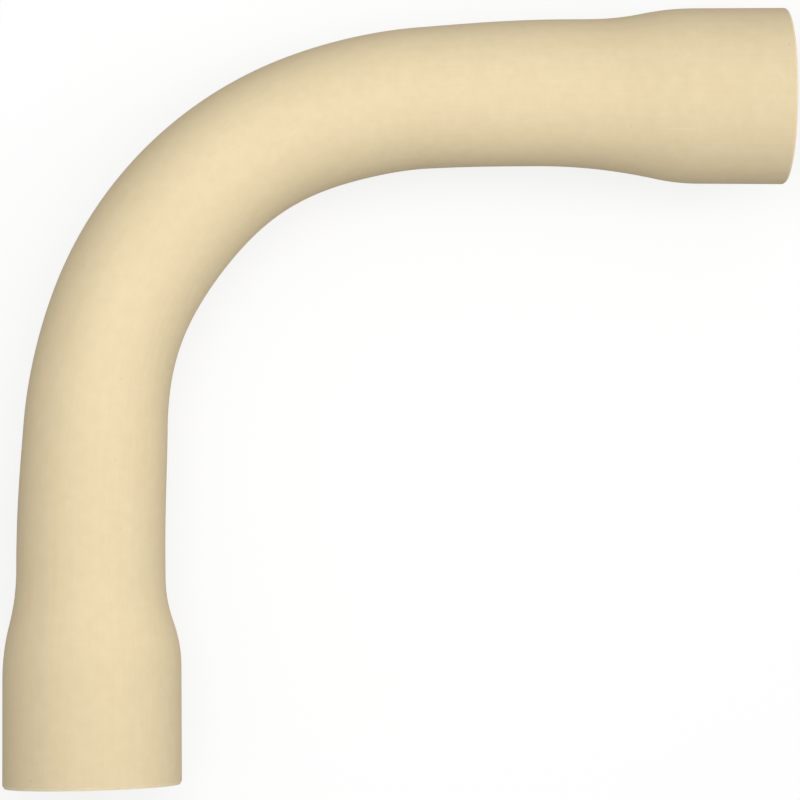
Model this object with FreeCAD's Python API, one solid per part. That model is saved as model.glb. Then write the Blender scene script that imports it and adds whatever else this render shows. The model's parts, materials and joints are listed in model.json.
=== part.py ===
"""Rigid PVC conduit elbow: a right-angle sweep with a bell formed on each end.

Millimetres, +Z up.  The elbow lies flat on its two bells, so its centreline is level.  The lower
mouth faces -Y and the upper mouth faces +X.  The origin is under the middle of the overall length
and width, at the level that the bells rest on.

The elbow is one length of pipe, heated, belled and bent.  It is modelled as the five stretches
that those steps leave along it, which meet face to face:

    lower_bell    socket and flare at the lower mouth
    lower_leg     pipe between the lower flare and the bend
    bend          the quarter turn
    upper_leg     pipe between the bend and the upper flare
    upper_bell    socket and flare at the upper mouth
"""

import FreeCAD, Part
import math
import os

from FreeCAD import Matrix, Rotation, Vector

# ---- Pipe: trade size 1, schedule 40 -------------------------------------------------
pipe_diameter = 33.4
pipe_wall = 3.38

# ---- Bells, both alike ---------------------------------------------------------------
bell_wall = 3.15  # a little thinner than the pipe, which stretches as it is belled
socket_clearance = 0.125  # all round, between the socket and a pipe pushed into it
socket_depth = 24.0  # straight bore, from the mouth to where the flare stops the pipe
flare_length = 22.0  # from the socket down to the pipe's own diameter
rim_round = 0.7  # outer edge of the mouth
lead_in = 0.6  # bevel on the inner edge of the mouth

# ---- Sweep ---------------------------------------------------------------------------
bend_radius = 76.2  # to the centreline
lower_reach = 80.5  # from the start of the bend to the lower mouth
upper_reach = 83.0  # from the end of the bend to the upper mouth

# ---- What bending does to the pipe, at the middle of the turn ------------------------
heel_draw = 2.8  # the outer wall lags behind the bend
throat_swell = 0.8  # the inner wall is pushed towards the bend's centre
side_swell = 0.9  # the pipe grows this much at its top and at its bottom
even_run = 29.0  # the distortion is even this far each way from the middle
ring_step = 10.0  # longest run between two of the sections that shape a wall

# ---- Sizes that follow ---------------------------------------------------------------
pipe_radius = pipe_diameter / 2
bore_radius = pipe_radius - pipe_wall
socket_radius = pipe_radius + socket_clearance
bell_radius = socket_radius + bell_wall
bell_length = socket_depth + flare_length
half_turn = bend_radius * math.pi / 4
lower_leg_end = half_turn + lower_reach - bell_length
upper_leg_end = half_turn + upper_reach - bell_length

# The bend is drawn about its own centre.  This moves that centre to its place in the frame.
bend_centre = Vector(
    (bend_radius + bell_radius - upper_reach) / 2,
    (lower_reach - bend_radius - bell_radius) / 2,
    bell_radius,
)


unit_circle = Part.Circle(Vector(), Vector(0, 0, 1), 1)
unit_quarters = [
    Part.ArcOfCircle(unit_circle, quarter * math.pi / 2, (quarter + 1) * math.pi / 2).toShape()
    for quarter in range(4)
]


def distortion(run):
    """How much of the bend's distortion is left at this run from the middle of the turn.

    It is all there over the even run, and the pipe is round again where each flare starts."""
    leg_end = upper_leg_end if run > 0 else lower_leg_end
    gone = (abs(run) - even_run) / (leg_end - even_run)
    gone = min(max(gone, 0.0), 1.0)
    return 1 - gone**3 * (10 - 15 * gone + 6 * gone**2)


def ring(run, radius):
    """Closed curve round the pipe at this run from the middle of the turn.

    Runs are negative towards the lower mouth.  The radius is what the ring has where the pipe
    is round."""
    run_in_turn = min(max(run, -half_turn), half_turn)
    angle = math.pi / 4 + run_in_turn / bend_radius
    heelward = Vector(-math.cos(angle), math.sin(angle), 0)
    forward = Vector(math.sin(angle), math.cos(angle), 0)
    share = distortion(run)
    heel = radius - share * heel_draw
    throat = radius + share * throat_swell
    centre = heelward * (bend_radius + (heel - throat) / 2) + forward * (run - run_in_turn)
    across = heelward * ((heel + throat) / 2)
    side = radius + share * side_swell
    to_ring = Matrix(
        across.x, 0, forward.x, centre.x,
        across.y, 0, forward.y, centre.y,
        0, side, 0, 0,
    )
    return Part.Wire([quarter.transformGeometry(to_ring).Edges[0] for quarter in unit_quarters])


def formed_pipe(start, end):
    """Wall of the pipe between two runs from the middle of the turn."""
    steps = math.ceil((end - start) / ring_step)
    runs = [start + (end - start) * step / steps for step in range(steps + 1)]
    outside = Part.makeLoft([ring(run, pipe_radius) for run in runs], True)
    inside = Part.makeLoft([ring(run, bore_radius) for run in runs], True)
    return outside.cut(inside)


def flare_edges(start, end):
    """Two equal arcs that join two radii in an S, level with the axis at both ends."""
    middle = (start + end) / 2
    half_rise = (end.x - start.x) / 2
    half_run = (end.z - start.z) / 2
    arc_radius = (half_rise**2 + half_run**2) / (2 * half_rise)
    quarter = math.asin(half_run / arc_radius) / 2
    way = Vector(arc_radius * (1 - math.cos(quarter)), 0, arc_radius * math.sin(quarter))
    return [
        Part.Arc(start, start + way, middle).toShape(),
        Part.Arc(middle, end - way, end).toShape(),
    ]


def bell(mouth, axis):
    """Socket and flare, from its mouth.  The axis points out of the mouth."""
    rim_corner = rim_round * (1 - math.sqrt(0.5))
    outline = [
        Part.makeLine(Vector(socket_radius + lead_in, 0, 0), Vector(bell_radius - rim_round, 0, 0)),
        Part.Arc(
            Vector(bell_radius - rim_round, 0, 0),
            Vector(bell_radius - rim_corner, 0, -rim_corner),
            Vector(bell_radius, 0, -rim_round),
        ).toShape(),
        Part.makeLine(Vector(bell_radius, 0, -rim_round), Vector(bell_radius, 0, -socket_depth)),
        *flare_edges(Vector(bell_radius, 0, -socket_depth), Vector(pipe_radius, 0, -bell_length)),
        Part.makeLine(Vector(pipe_radius, 0, -bell_length), Vector(bore_radius, 0, -bell_length)),
        *flare_edges(Vector(bore_radius, 0, -bell_length), Vector(socket_radius, 0, -socket_depth)),
        Part.makeLine(Vector(socket_radius, 0, -socket_depth), Vector(socket_radius, 0, -lead_in)),
        Part.makeLine(Vector(socket_radius, 0, -lead_in), Vector(socket_radius + lead_in, 0, 0)),
    ]
    turned = Part.Face(Part.Wire(outline)).revolve(Vector(), Vector(0, 0, 1), 360)
    turned.Placement = FreeCAD.Placement(mouth, Rotation(Vector(0, 0, 1), axis))
    return turned


stretches = {
    "lower_bell": bell(Vector(-bend_radius, -lower_reach, 0), Vector(0, -1, 0)),
    "lower_leg": formed_pipe(-lower_leg_end, -half_turn),
    "bend": formed_pipe(-half_turn, half_turn),
    "upper_leg": formed_pipe(half_turn, upper_leg_end),
    "upper_bell": bell(Vector(upper_reach, bend_radius, 0), Vector(1, 0, 0)),
}

os.makedirs("parts", exist_ok=True)
for node, shape in stretches.items():
    shape.translated(bend_centre).exportStep(f"parts/{node}.step")
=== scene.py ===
import json
import math
from types import SimpleNamespace

import bmesh
import bpy
from mathutils import Matrix, Vector


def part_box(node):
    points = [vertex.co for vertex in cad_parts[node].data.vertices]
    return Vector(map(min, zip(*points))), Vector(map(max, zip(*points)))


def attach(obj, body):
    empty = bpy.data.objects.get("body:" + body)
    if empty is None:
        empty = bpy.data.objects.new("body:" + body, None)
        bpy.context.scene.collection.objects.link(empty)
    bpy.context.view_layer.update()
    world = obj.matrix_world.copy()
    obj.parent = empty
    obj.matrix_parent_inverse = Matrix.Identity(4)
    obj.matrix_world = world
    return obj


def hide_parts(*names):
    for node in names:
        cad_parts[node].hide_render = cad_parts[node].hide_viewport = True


# PVC conduit elbow.  Metres, +Z up, in the frame's own axes: the elbow lies flat, its lower mouth
# faces -Y and its upper mouth faces +X.
#
# A run is a distance along the centreline from the middle of the bend, negative towards the lower
# mouth.  The heel is the pipe's side on the outside of the bend, and the throat is the other one.

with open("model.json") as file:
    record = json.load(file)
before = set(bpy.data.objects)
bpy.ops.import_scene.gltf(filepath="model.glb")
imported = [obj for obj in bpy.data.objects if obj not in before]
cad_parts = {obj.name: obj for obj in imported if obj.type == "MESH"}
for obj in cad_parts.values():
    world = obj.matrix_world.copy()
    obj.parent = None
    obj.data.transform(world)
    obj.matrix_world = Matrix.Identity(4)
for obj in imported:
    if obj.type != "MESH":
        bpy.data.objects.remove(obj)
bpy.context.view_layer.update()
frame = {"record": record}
scene = bpy.context.scene
mm = 0.001

# ---- Sizes and places that the frame gives -------------------------------------------
lower_bell_low, lower_bell_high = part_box("lower_bell")
upper_bell_low, upper_bell_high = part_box("upper_bell")
bend_low, bend_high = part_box("bend")
lower_leg_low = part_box("lower_leg")[0]

level = (lower_bell_low.z + lower_bell_high.z) / 2  # height of the centreline
bell_radius = (lower_bell_high.x - lower_bell_low.x) / 2
lower_axis = (lower_bell_low.x + lower_bell_high.x) / 2  # x of the lower leg's centreline
bend_centre = Vector((bend_high.x, bend_low.y, level))
bend_radius = bend_centre.x - lower_axis
pipe_radius = lower_axis - lower_leg_low.x
half_turn = bend_radius * math.pi / 4
lower_mouth = -half_turn - (bend_centre.y - lower_bell_low.y)
upper_mouth = half_turn + upper_bell_high.x - bend_centre.x
lower_leg_end = -half_turn - (bend_centre.y - lower_bell_high.y)
upper_leg_end = half_turn + upper_bell_low.x - bend_centre.x
mounts = {mount["name"]: mount for mount in frame["record"]["mounts"]}
socket_radius = mounts["lower_socket"]["dims"]["r_mm"] * mm

# ---- Sizes of the forming ------------------------------------------------------------
pipe_wall = 3.38 * mm
bore_radius = pipe_radius - pipe_wall
socket_depth = 24.0 * mm
shoulder_length = 22.0 * mm  # of the taper behind the socket, down to the pipe's bore
lead_in = 0.6 * mm  # bevel on the inner edge of each mouth
rim_depth = 2.5 * mm  # the sawn edge and its bevels stay within this much of the mouth

heel_draw = 2.8 * mm  # the bend's outer wall lags behind the turn
throat_swell = 0.8 * mm  # and its inner wall is pushed towards the bend's centre
side_swell = 0.9 * mm  # the bend grows this much at its top and at its bottom
even_run = 29.0 * mm  # the bend's distortion is even this far each way from the middle
ripple = 0.27 * mm  # the inner wall keeps a faint wave from the bending
ripple_length = 55.5 * mm
ripple_crest = -10.5 * mm

# Each flare starts at its own distance from the mouth on the heel side and on the throat side, and
# its two arcs meet at the knee, a share of its length.  Each bell sits a little off the pipe's
# centreline, towards the throat, and may spread that way at its mouth.  The saw trims each mouth by
# a hair, and leans so that the heel side stays a little longer.  The outer edge of the mouth has a
# bevel, which drops less across the pipe than it runs along it.
lower_form = SimpleNamespace(
    mouth=lower_mouth, leg_end=lower_leg_end,
    heel_start=24.5 * mm, heel_flare=24.0 * mm,
    throat_start=27.0 * mm, throat_flare=19.6 * mm, throat_knee=0.5,
    shift=0.22 * mm, spread=0.0 * mm,
    trim=0.3 * mm, lean=0.0127, bevel=0.7 * mm, drop=0.4 * mm,
)
upper_form = SimpleNamespace(
    mouth=upper_mouth, leg_end=upper_leg_end,
    heel_start=21.4 * mm, heel_flare=23.4 * mm,
    throat_start=20.4 * mm, throat_flare=37.4 * mm, throat_knee=0.25,
    shift=0.96 * mm, spread=0.3 * mm,
    trim=0.25 * mm, lean=0.0044, bevel=0.4 * mm, drop=0.25 * mm,
)

# ---- How finely the wall is drawn ----------------------------------------------------
ring_sides = 160
ring_gap = 1.6 * mm
seam_gap = 0.15 * mm  # a ring this near a seam keeps the shading even across it

# Places of the finishes in each piece's list of materials
outside_finish, inside_finish, sawn_finish_with_painted_highlight = range(3)


# ---- The pipe's shape ----------------------------------------------------------------
def form_at(run):
    """Sizes of the bell at this run's end of the pipe."""
    return upper_form if run > 0 else lower_form


def flare(distance, start, length, knee=0.5):
    """Share of the bell that is left at this distance from the mouth: an S of two arcs."""
    gone = min(max((distance - start) / length, 0.0), 1.0)
    if gone < knee:
        return 1 - gone**2 / knee
    return (1 - gone)**2 / (1 - knee)


def distortion(run):
    """Share of the bend's distortion that is left at this run."""
    gone = (abs(run) - even_run) / (abs(form_at(run).leg_end) - even_run)
    gone = min(max(gone, 0.0), 1.0)
    return 1 - gone**3 * (10 - 15 * gone + 6 * gone**2)


def ring_reach(run, inside):
    """How far a ring reaches from the centreline: to the heel side, to the throat side and up."""
    form = form_at(run)
    from_mouth = abs(run - form.mouth)
    heel_share = flare(from_mouth, form.heel_start, form.heel_flare)
    throat_share = flare(from_mouth, form.throat_start, form.throat_flare, form.throat_knee)
    if inside:
        socket_share = flare(from_mouth, socket_depth, shoulder_length)
        heel = throat = bore_radius + (socket_radius - bore_radius) * socket_share
    else:
        drop = form.drop if from_mouth < form.bevel else 0.0
        heel = pipe_radius + (bell_radius - pipe_radius) * heel_share - drop
        throat = pipe_radius + (bell_radius - pipe_radius) * throat_share - drop
    bent = distortion(run)
    up = (heel + throat) / 2 + side_swell * bent
    heel -= form.shift * heel_share + heel_draw * bent
    wave = math.cos(2 * math.pi * (run - ripple_crest) / ripple_length)
    throat += form.shift * throat_share + form.spread * max(0.0, 1 - from_mouth / socket_depth)
    throat += throat_swell * bent + ripple * wave * math.sqrt(bent)
    return heel, throat, up


def mouth_lean(run):
    """Slope that the saw gives this ring, which is 0 away from the mouth."""
    form = form_at(run)
    return math.copysign(form.lean, run) if abs(run - form.mouth) < rim_depth else 0.0


def ring_place(run, inside):
    """Matrix that takes the unit circle to the ring round the pipe at this run."""
    heel, throat, up = ring_reach(run, inside)
    run_in_turn = min(max(run, -half_turn), half_turn)
    angle = math.pi / 4 + run_in_turn / bend_radius
    heelward = Vector((-math.cos(angle), math.sin(angle), 0))
    forward = Vector((math.sin(angle), math.cos(angle), 0))
    centre = bend_centre + heelward * (bend_radius + (heel - throat) / 2)
    centre += forward * (run - run_in_turn)
    across = (heelward + forward * mouth_lean(run)) * ((heel + throat) / 2)
    return Matrix((
        (across.x, 0, forward.x, centre.x),
        (across.y, 0, forward.y, centre.y),
        (across.z, up, forward.z, centre.z),
        (0, 0, 0, 1),
    ))


def runs_between(start, end):
    """Runs of a stretch's rings, even apart from one beside each end."""
    even_length = end - start - 2 * seam_gap
    steps = math.ceil(even_length / ring_gap)
    inner = [start + seam_gap + even_length * step / steps for step in range(steps + 1)]
    return [start, *inner, end]


# ---- The pipe's wall -----------------------------------------------------------------
def mark_corners(bm, corners, run, inside):
    """Notes on each corner of a ring where it would be on the straight pipe."""
    back = ring_place(run, inside).inverted()
    straight = bm.verts.layers.float_vector["straight"]
    radius = bore_radius if inside else pipe_radius
    for corner in corners:
        unit = back @ corner.co
        corner[straight] = (unit.x * radius, unit.y * radius, run)


def ring_edges(corners):
    """Edges that join these corners to one another."""
    around = {edge for corner in corners for edge in corner.link_edges}
    return [edge for edge in around if all(corner in corners for corner in edge.verts)]


def finish_faces(faces, finish):
    for face in faces:
        face.material_index = finish


def new_ring(bm, run, inside):
    """Edges of one ring round the pipe at this run."""
    corners = bmesh.ops.create_circle(bm, segments=ring_sides, radius=1.0,
                                      matrix=ring_place(run, inside))["verts"]
    mark_corners(bm, corners, run, inside)
    return ring_edges(corners)


def end_face(bm, outer_ring, run):
    """Draws an end's outer ring in to the bore, and gives the edges of the bore's ring."""
    grown = bmesh.ops.extrude_edge_only(bm, edges=outer_ring)["geom"]
    corners = [part for part in grown if isinstance(part, bmesh.types.BMVert)]
    drawn_in = ring_place(run, inside=True) @ ring_place(run, inside=False).inverted()
    bmesh.ops.transform(bm, matrix=drawn_in, verts=corners)
    mark_corners(bm, corners, run, inside=True)
    finish_faces([part for part in grown if isinstance(part, bmesh.types.BMFace)], sawn_finish_with_painted_highlight)
    return ring_edges(corners)


def cover(bm, rings, finish):
    """Skin over a row of rings.  Gives the faces of each band between two of them."""
    bands = []
    for ring, following in zip(rings, rings[1:]):
        bands.append(bmesh.ops.bridge_loops(bm, edges=ring + following)["faces"])
        finish_faces(bands[-1], finish)
    return bands


def make_wall(bm, runs, mouth):
    """Closed wall over these runs.  mouth is 0 or -1 for the run that is a mouth, and the run
    beside that one ends the outer bevel, so that it isn't needed inside."""
    outer = [new_ring(bm, run, inside=False) for run in runs]
    inner_runs = runs[1:-1]
    if mouth is not None:
        del inner_runs[mouth]
    inner = [end_face(bm, outer[0], runs[0])]
    inner += [new_ring(bm, run, inside=True) for run in inner_runs]
    inner += [end_face(bm, outer[-1], runs[-1])]
    outer_bands = cover(bm, outer, outside_finish)
    cover(bm, inner, inside_finish)
    # Sharp edges keep the hidden end faces from bending the shading beside a seam.
    for end in (0, -1):
        if end != mouth:
            for edge in outer[end] + inner[end]:
                edge.smooth = False
    bmesh.ops.recalc_face_normals(bm, faces=bm.faces)
    if mouth is not None:
        # The outer bevel takes the pale cut colour, which is partly a painted highlight.
        finish_faces(outer_bands[mouth], sawn_finish_with_painted_highlight)
        bevelled = bmesh.ops.bevel(bm, geom=inner[mouth], offset=lead_in, segments=1,
                                   profile=0.5, affect="EDGES", material=-1)
        finish_faces(bevelled["faces"], sawn_finish_with_painted_highlight)
    for face in bm.faces:
        face.smooth = face.material_index != sawn_finish_with_painted_highlight


def place_object(name, data):
    """Adds an object to the scene."""
    placed = bpy.data.objects.new(name, data)
    scene.collection.objects.link(placed)
    return placed


def make_stretch(node, runs, finishes, mouth=None):
    """Visible piece for one stretch of the pipe."""
    bm = bmesh.new()
    bm.verts.layers.float_vector.new("straight")
    make_wall(bm, runs, mouth)
    mesh = bpy.data.meshes.new(node + "_pipe")
    bm.to_mesh(mesh)
    bm.free()
    for finish in finishes:
        mesh.materials.append(finish)
    piece = place_object(node + "_pipe", mesh)
    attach(piece, "root")
    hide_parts(node)


# ---- Materials -----------------------------------------------------------------------
def linear(code):
    """Linear colour from an sRGB hex code."""
    values = [int(code[place:place + 2], 16) / 255 for place in (1, 3, 5)]
    return tuple(v / 12.92 if v <= 0.04045 else ((v + 0.055) / 1.055)**2.4 for v in values) + (1,)


def add(tree, kind, inputs=None, **settings):
    """Adds a node.  Each input is given a value, or the socket that it is linked to."""
    node = tree.nodes.new("ShaderNode" + kind)
    for name, value in settings.items():
        setattr(node, name, value)
    for key, value in (inputs or {}).items():
        if isinstance(value, bpy.types.NodeSocket):
            tree.links.new(value, node.inputs[key])
        else:
            node.inputs[key].default_value = value
    return node


def new_material(name):
    material = bpy.data.materials.new(name)
    material.use_nodes = True
    tree = material.node_tree
    tree.nodes.clear()
    return material, tree


def stained(tree, body, code, pattern, over, share=(0.0, 1.0)):
    """Colour with a second one laid on it, whose share changes over a range of the pattern."""
    laid = add(tree, "MapRange", {"Value": pattern, "From Min": over[0], "From Max": over[1],
                                  "To Min": share[0], "To Max": share[1]})
    mixed = add(tree, "Mix", {"Factor": laid.outputs[0], 6: body, 7: linear(code)},
                data_type="RGBA")
    return mixed.outputs[2]


def pigment_mottle(tree, place):
    """Fine unevenness of the pigment, which the skin's peel follows."""
    return add(tree, "TexNoise", {"Vector": place, "Scale": 1 / (2.6 * mm), "Detail": 3.0,
                                  "Roughness": 0.6}).outputs[0]


def cream(tree, place, mottle, spread):
    """Colour of the compound itself, a cream that is never quite even: the mottle of the pigment,
    and fainter broad clouding from the heat of the bending."""
    clouding = 0.35
    middle = 0.5 * clouding + 0.5  # both noises are 0.5 on average
    cloud = add(tree, "TexNoise", {"Vector": place, "Scale": 1 / (24 * mm), "Detail": 2.0})
    uneven = add(tree, "Math", {0: cloud.outputs[0], 1: clouding, 2: mottle},
                 operation="MULTIPLY_ADD")
    return stained(tree, linear("#DECBA3"), "#E6D4AE", uneven.outputs[0],
                   over=(middle - spread, middle + spread))


def lengthwise(tree, place, width, length):
    """Streaks that run along the pipe, each about as wide and as long as it is told."""
    drawn = add(tree, "Mapping", {"Vector": place, "Scale": (1.0, 1.0, width / length)})
    return add(tree, "TexNoise", {"Vector": drawn.outputs[0], "Scale": 1 / width,
                                  "Detail": 2.0}).outputs[0]


def extruded_pvc():
    """Outside of the pipe: rigid PVC drawn through a die, then heated and bent.  To the eye that is
    an opaque cream with a soft, nearly matt sheen, faint die lines along the pipe, orange peel from
    the heat, a few short rubbed streaks, and a few specks of burnt resin."""
    material, tree = new_material("extruded_rigid_pvc")
    along = add(tree, "Attribute", attribute_name="straight").outputs["Vector"]
    mottle = pigment_mottle(tree, along)
    # Real die lines are about 0.2 mm apart.  These are wider, so that they show.
    lines = lengthwise(tree, along, width=0.7 * mm, length=40 * mm)
    rubs = lengthwise(tree, along, width=1.2 * mm, length=12 * mm)
    grains = add(tree, "TexVoronoi", {"Vector": along, "Scale": 1 / (9 * mm)})
    body = cream(tree, along, mottle, spread=0.36)
    body = stained(tree, body, "#A58F62", lines, over=(0.35, 0.65), share=(0.025, 0.0))
    body = stained(tree, body, "#F2E6C3", rubs, over=(0.70, 0.78), share=(0.0, 0.2))
    body = stained(tree, body, "#86714A", grains.outputs["Distance"], over=(0.02, 0.036),
                   share=(0.15, 0.0))
    rough = add(tree, "MapRange", {"Value": mottle, "From Min": 0.3, "From Max": 0.7,
                                   "To Min": 0.80, "To Max": 0.90})
    peel = add(tree, "Bump", {"Height": mottle, "Distance": 0.012 * mm})
    grooved = add(tree, "Bump", {"Height": lines, "Distance": 0.004 * mm, "Normal": peel.outputs[0]})
    shader = add(tree, "BsdfPrincipled", {"Base Color": body, "Roughness": rough.outputs[0],
                                          "IOR": 1.53, "Normal": grooved.outputs[0]})
    add(tree, "OutputMaterial", {"Surface": shader.outputs[0]})
    return material


def mandrel_pvc():
    """Inside of the pipe and of its sockets, which a polished mandrel has pressed smooth: the same
    cream with a closer gloss and long drag lines, and hardly any peel."""
    material, tree = new_material("mandrel_formed_pvc")
    along = add(tree, "Attribute", attribute_name="straight").outputs["Vector"]
    drag = lengthwise(tree, along, width=1.0 * mm, length=60 * mm)
    body = cream(tree, along, pigment_mottle(tree, along), spread=0.5)
    body = stained(tree, body, "#B7A273", drag, over=(0.35, 0.65), share=(0.08, 0.0))
    grooved = add(tree, "Bump", {"Height": drag, "Distance": 0.01 * mm})
    shader = add(tree, "BsdfPrincipled", {"Base Color": body, "Roughness": 0.4, "IOR": 1.53,
                                          "Specular IOR Level": 0.3, "Normal": grooved.outputs[0]})
    add(tree, "OutputMaterial", {"Surface": shader.outputs[0]})
    return material


def sawn_pvc_painted_highlight():
    """Mouths, sawn square and then deburred to a flat bevel: the cut leaves the cream paler and
    matt, with fine straight saw marks across the wall.  The pale colour is partly the cut's own tone
    and partly a painted highlight, so that the bevel reads as a bright line round each mouth."""
    material, tree = new_material("sawn_rigid_pvc_painted_highlight")
    place = add(tree, "TexCoord").outputs["Object"]
    # Saw marks are about 0.1 mm apart.  These are wider, so that they show.  They are turned to
    # cross both mouths on a slant.
    across = add(tree, "Mapping", {"Vector": place, "Rotation": (0.5, 0.5, 0.0),
                                   "Scale": (0.04, 0.04, 1.0)})
    marks = add(tree, "TexNoise", {"Vector": across.outputs[0], "Scale": 1 / (0.35 * mm),
                                   "Detail": 3.0, "Roughness": 0.7}).outputs[0]
    body = cream(tree, place, pigment_mottle(tree, place), spread=0.4)
    # The pale colour laid over the cut is partly its own paler tone and partly a painted highlight,
    # brighter than the cut itself, so that the bevel shows as a bright line at each mouth.
    body = stained(tree, body, "#F7E8C2", marks, over=(0.35, 0.65), share=(0.6, 1.0))
    scored = add(tree, "Bump", {"Height": marks, "Distance": 0.03 * mm})
    shader = add(tree, "BsdfPrincipled", {"Base Color": body, "Roughness": 0.72, "IOR": 1.53,
                                          "Normal": scored.outputs[0]})
    add(tree, "OutputMaterial", {"Surface": shader.outputs[0]})
    return material


def seen_directly(tree):
    """1 for what the camera, a gloss or a clear material sees, and 0 for light that spreads."""
    rays = add(tree, "LightPath")
    mirrored = add(tree, "Math", {0: rays.outputs["Is Camera Ray"],
                                  1: rays.outputs["Is Glossy Ray"]}, operation="MAXIMUM")
    either = add(tree, "Math", {0: mirrored.outputs[0],
                                1: rays.outputs["Is Transmission Ray"]}, operation="MAXIMUM")
    return either.outputs[0]


def paper():
    """Grey card that reads as white paper: the lift brings its lit colour up to white, and the
    object's shadow on it stays."""
    material, tree = new_material("seamless_paper")
    matt = add(tree, "BsdfDiffuse", {"Color": linear("#808080")})
    place = add(tree, "TexCoord").outputs["Object"]
    away = add(tree, "VectorMath", {0: place}, operation="LENGTH").outputs["Value"]
    # The lamps fade over the floor, and the lift grows to make up for it.
    short = add(tree, "MapRange", {"Value": away, "From Min": 0.1, "From Max": 0.6,
                                   "To Min": 0.785, "To Max": 0.87}, interpolation_type="SMOOTHSTEP")
    lift = add(tree, "Math", {0: seen_directly(tree), 1: short.outputs[0]}, operation="MULTIPLY")
    glow = add(tree, "Emission", {"Color": (1, 1, 1, 1), "Strength": lift.outputs[0]})
    both = add(tree, "AddShader", {0: matt.outputs[0], 1: glow.outputs[0]})
    add(tree, "OutputMaterial", {"Surface": both.outputs[0]})
    return material


# ---- Pieces --------------------------------------------------------------------------
finishes = (extruded_pvc(), mandrel_pvc(), sawn_pvc_painted_highlight())
lower_rim = lower_mouth + lower_form.trim
upper_rim = upper_mouth - upper_form.trim
behind_lower_rim = runs_between(lower_mouth + rim_depth, lower_leg_end)[1:]
behind_upper_rim = runs_between(upper_leg_end, upper_mouth - rim_depth)[:-1]

make_stretch("lower_bell", [lower_rim, lower_rim + lower_form.bevel, *behind_lower_rim], finishes,
             mouth=0)
make_stretch("lower_leg", runs_between(lower_leg_end, -half_turn), finishes)
make_stretch("bend", runs_between(-half_turn, half_turn), finishes)
make_stretch("upper_leg", runs_between(half_turn, upper_leg_end), finishes)
make_stretch("upper_bell", [*behind_upper_rim, upper_rim - upper_form.bevel, upper_rim], finishes,
             mouth=-1)


# ---- Stage ---------------------------------------------------------------------------
def make_floor(half_width):
    bm = bmesh.new()
    bmesh.ops.create_grid(bm, x_segments=1, y_segments=1, size=half_width)
    mesh = bpy.data.meshes.new("floor")
    bm.to_mesh(mesh)
    bm.free()
    mesh.materials.append(paper())
    place_object("floor", mesh)


def make_light(name, place, target, size, power):
    lamp = bpy.data.lights.new(name, "AREA")
    lamp.shape = "DISK"
    lamp.size = size
    lamp.energy = power
    light = place_object(name, lamp)
    light.location = place
    light.rotation_euler = (target - place).to_track_quat("-Z", "Y").to_euler()


def light_room(brightness):
    """Pale room, even all round, and plain white where it is seen."""
    world = bpy.data.worlds.new("studio")
    scene.world = world
    world.use_nodes = True
    tree = world.node_tree
    tree.nodes.clear()
    strength = add(tree, "Mix", {"Factor": seen_directly(tree), 2: brightness, 3: 1.0})
    light = add(tree, "Background", {"Color": (1, 1, 1, 1), "Strength": strength.outputs[0]})
    add(tree, "OutputWorld", {"Surface": light.outputs[0]})


make_floor(half_width=3.0)
light_room(brightness=0.6)
make_light("softbox", place=Vector((-0.03, 0.03, 0.28)), target=Vector((-0.03, 0.03, level)),
           size=0.25, power=0.33)
make_light("key", place=Vector((0.8, 0.1, 0.6)), target=Vector((0, 0, level)),
           size=0.4, power=1.9)

# ---- Camera --------------------------------------------------------------------------
camera_from_bend_centre = Vector((-22.48, -46.34, 636.72)) * mm
camera_turn = (4.702, -1.411, -0.603)  # degrees about X, Y and Z: nearly straight down
camera = place_object("camera", bpy.data.cameras.new("camera"))
camera.location = bend_centre + camera_from_bend_centre
camera.rotation_euler = [math.radians(turn) for turn in camera_turn]
camera.data.sensor_width = 36.0
camera.data.lens = 126.8
scene.camera = camera

scene.view_settings.view_transform = "Standard"
